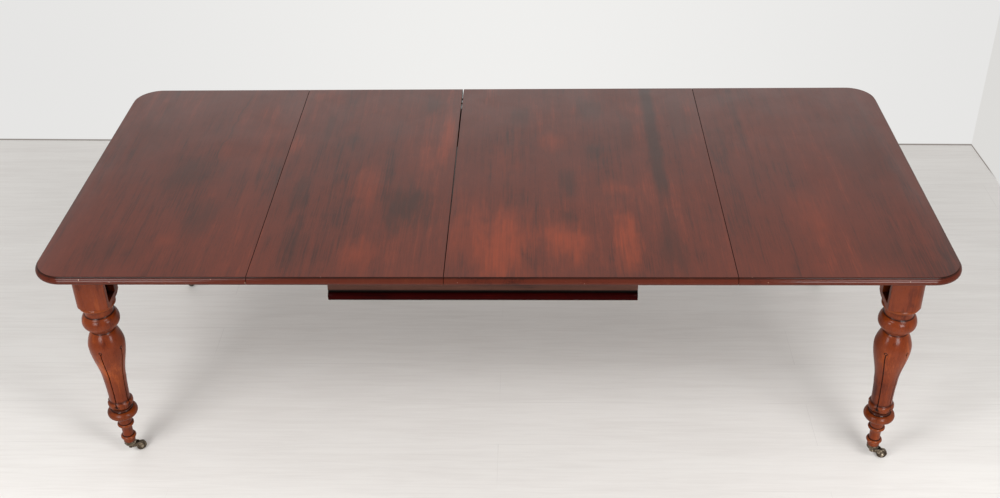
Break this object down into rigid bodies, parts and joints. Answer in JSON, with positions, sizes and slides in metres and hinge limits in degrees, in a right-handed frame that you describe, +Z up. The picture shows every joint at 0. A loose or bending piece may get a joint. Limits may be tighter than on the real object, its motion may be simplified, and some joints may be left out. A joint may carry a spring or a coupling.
{
  "type": "extending dining table",
  "caption": "Long extending dining table with rounded corners, loose leaves between sliding end frames, sliding bearers, a centre apron, turned fluted legs and swivel castors.",
  "frame": {"origin": "on the floor under the middle of the open tabletop", "axes": "+X along the table to its right end, +Y from the front edge to the back edge, +Z up"},
  "size_m": [2.43, 1.084, 0.73],
  "materials": {
    "mahogany_top": "french polished, satin",
    "mahogany_leaf": "french polished, satin",
    "turned_mahogany": "shellac, glossy",
    "moulding_wood": "shellac, glossy",
    "frame_mahogany": "thin polish",
    "bearer_wood": "bare",
    "brass": "dark, tarnished",
    "steel": "dull"
  },
  "bodies": {
    "centre_frame": {"front_apron": "frame_mahogany", "back_apron": "frame_mahogany", "front_apron_moulding": "moulding_wood", "back_apron_moulding": "moulding_wood", "centre_front_bearer": "bearer_wood", "centre_back_bearer": "bearer_wood", "centre_cross_rails": "bearer_wood", "centre_frame_screws": "steel", "stop_pegs": "bearer_wood"},
    "left_end": {"left_top": "mahogany_top", "leg_front_left": "turned_mahogany", "leg_back_left": "turned_mahogany", "left_end_rail": "frame_mahogany", "left_end_moulding": "moulding_wood", "left_front_bearer": "bearer_wood", "left_back_bearer": "bearer_wood", "left_cross_rail": "bearer_wood", "left_glue_blocks": "bearer_wood", "left_frame_screws": "steel", "castor_cup_front_left": "brass", "castor_cup_back_left": "brass"},
    "right_end": {"right_top": "mahogany_top", "leg_front_right": "turned_mahogany", "leg_back_right": "turned_mahogany", "right_end_rail": "frame_mahogany", "right_end_moulding": "moulding_wood", "right_front_bearer": "bearer_wood", "right_back_bearer": "bearer_wood", "right_cross_rail": "bearer_wood", "right_glue_blocks": "bearer_wood", "right_frame_screws": "steel", "castor_cup_front_right": "brass", "castor_cup_back_right": "brass"},
    "narrow_leaf": {"leaf_narrow": "mahogany_top", "narrow_fork_plates": "bearer_wood", "leaf_forks": "brass"},
    "wide_leaf": {"leaf_wide": "mahogany_leaf", "wide_fork_plates": "bearer_wood"},
    "castor_front_left": {"castor_horn_front_left": "brass", "castor_axle_front_left": "brass"},
    "wheel_front_left": {"castor_wheel_front_left": "brass"},
    "castor_front_right": {"castor_horn_front_right": "brass", "castor_axle_front_right": "brass"},
    "wheel_front_right": {"castor_wheel_front_right": "brass"},
    "castor_back_left": {"castor_horn_back_left": "brass", "castor_axle_back_left": "brass"},
    "wheel_back_left": {"castor_wheel_back_left": "brass"},
    "castor_back_right": {"castor_horn_back_right": "brass", "castor_axle_back_right": "brass"},
    "wheel_back_right": {"castor_wheel_back_right": "brass"}
  },
  "joints": [
    {"name": "left_end_slide", "type": "slide", "parent": "centre_frame", "child": "left_end", "axis": [1, 0, 0], "range_m": [0, 0.6025]},
    {"name": "right_end_slide", "type": "slide", "parent": "centre_frame", "child": "right_end", "axis": [-1, 0, 0], "range_m": [0, 0.6652]},
    {"name": "narrow_leaf_lift", "type": "slide", "parent": "centre_frame", "child": "narrow_leaf", "axis": [0, 0, 1], "range_m": [0, 0.4822]},
    {"name": "wide_leaf_lift", "type": "slide", "parent": "centre_frame", "child": "wide_leaf", "axis": [0, 0, 1], "range_m": [0, 0.4822]},
    {"name": "castor_front_left_swivel", "type": "hinge", "parent": "left_end", "child": "castor_front_left", "pos_m": [-1.095, -0.417, 0.031], "axis": [0, 0, 1], "continuous": true},
    {"name": "wheel_front_left_roll", "type": "hinge", "parent": "castor_front_left", "child": "wheel_front_left", "pos_m": [-1.07136, -0.39853, 0.015], "axis": [-0.6157, 0.788, 0], "continuous": true},
    {"name": "castor_front_right_swivel", "type": "hinge", "parent": "right_end", "child": "castor_front_right", "pos_m": [1.095, -0.417, 0.031], "axis": [0, 0, 1], "continuous": true},
    {"name": "wheel_front_right_roll", "type": "hinge", "parent": "castor_front_right", "child": "wheel_front_right", "pos_m": [1.125, -0.417, 0.015], "axis": [0, 1, 0], "continuous": true},
    {"name": "castor_back_left_swivel", "type": "hinge", "parent": "left_end", "child": "castor_back_left", "pos_m": [-1.095, 0.417, 0.031], "axis": [0, 0, 1], "continuous": true},
    {"name": "wheel_back_left_roll", "type": "hinge", "parent": "castor_back_left", "child": "wheel_back_left", "pos_m": [-1.12149, 0.43108, 0.015], "axis": [-0.4695, -0.8829, 0], "continuous": true},
    {"name": "castor_back_right_swivel", "type": "hinge", "parent": "right_end", "child": "castor_back_right", "pos_m": [1.095, 0.417, 0.031], "axis": [0, 0, 1], "continuous": true},
    {"name": "wheel_back_right_roll", "type": "hinge", "parent": "castor_back_right", "child": "wheel_back_right", "pos_m": [1.10815, 0.44396, 0.015], "axis": [-0.8988, 0.4384, 0], "continuous": true}
  ],
  "couplings": [
    {"joint": "right_end_slide", "follows": "left_end_slide", "ratio": 1.1037},
    {"joint": "narrow_leaf_lift", "follows": "left_end_slide", "ratio": 0.8},
    {"joint": "wide_leaf_lift", "follows": "left_end_slide", "ratio": 0.8}
  ]
}
